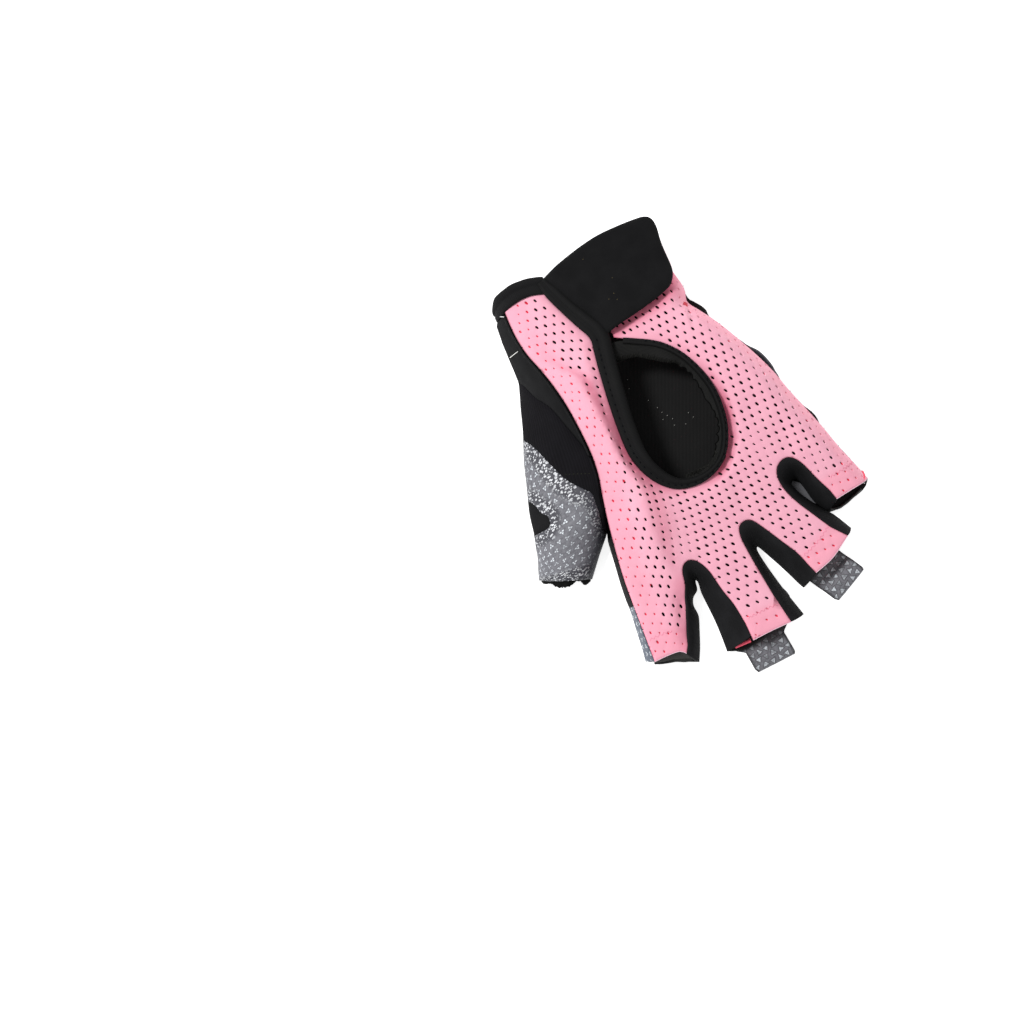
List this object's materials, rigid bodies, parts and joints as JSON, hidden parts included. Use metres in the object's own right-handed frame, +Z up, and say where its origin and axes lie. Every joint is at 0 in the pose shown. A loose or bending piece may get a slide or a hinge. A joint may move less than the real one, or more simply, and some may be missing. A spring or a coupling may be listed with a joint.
{
  "type": "half-finger fitness glove",
  "caption": "Left half-finger fitness glove lying palm down: perforated back with a teardrop window, wrist strap, padded palm and fingertip pull tabs.",
  "frame": {"origin": "on the surface the glove lies on, under the middle of the palm, at the palm grip's flat underside", "axes": "+Z up out of the back of the glove, +Y towards the wrist, so the fingers point to -Y and the thumb lies on the -X side"},
  "size_m": [0.1232, 0.1687, 0.023],
  "materials": {
    "pink_mesh": "matt perforated knit",
    "black_stretch": "matt stretch cloth",
    "black_rib": "ribbed stretch cloth",
    "black_strap": "matt padded strap",
    "black_binding": "stretch binding",
    "gray_leather": "satin grip leather with small raised pale triangles"
  },
  "bodies": {
    "root": {"back_panel": "pink_mesh", "opening_binding": "black_binding", "opening_facing": "black_stretch", "wrist_strap": "black_strap", "cuff_binding": "black_binding", "side_panel": "black_stretch", "thumb_gusset": "black_rib", "thumb_patch": "gray_leather", "thumb_back_panel": "black_stretch", "thumb_liner": "black_stretch", "index_side_wall": "black_stretch", "index_side_grip": "gray_leather", "fourchette_index_middle": "black_stretch", "fourchette_middle_ring": "black_stretch", "fourchette_ring_pinkie": "black_stretch", "palm_panel": "black_stretch", "palm_grip": "gray_leather", "heel_grip": "gray_leather", "thumb_grip": "gray_leather", "index_grip": "gray_leather", "middle_grip": "gray_leather", "ring_grip": "gray_leather", "pinkie_grip": "gray_leather", "pull_tab_middle": "gray_leather", "pull_tab_ring": "gray_leather"}
  },
  "joints": []
}
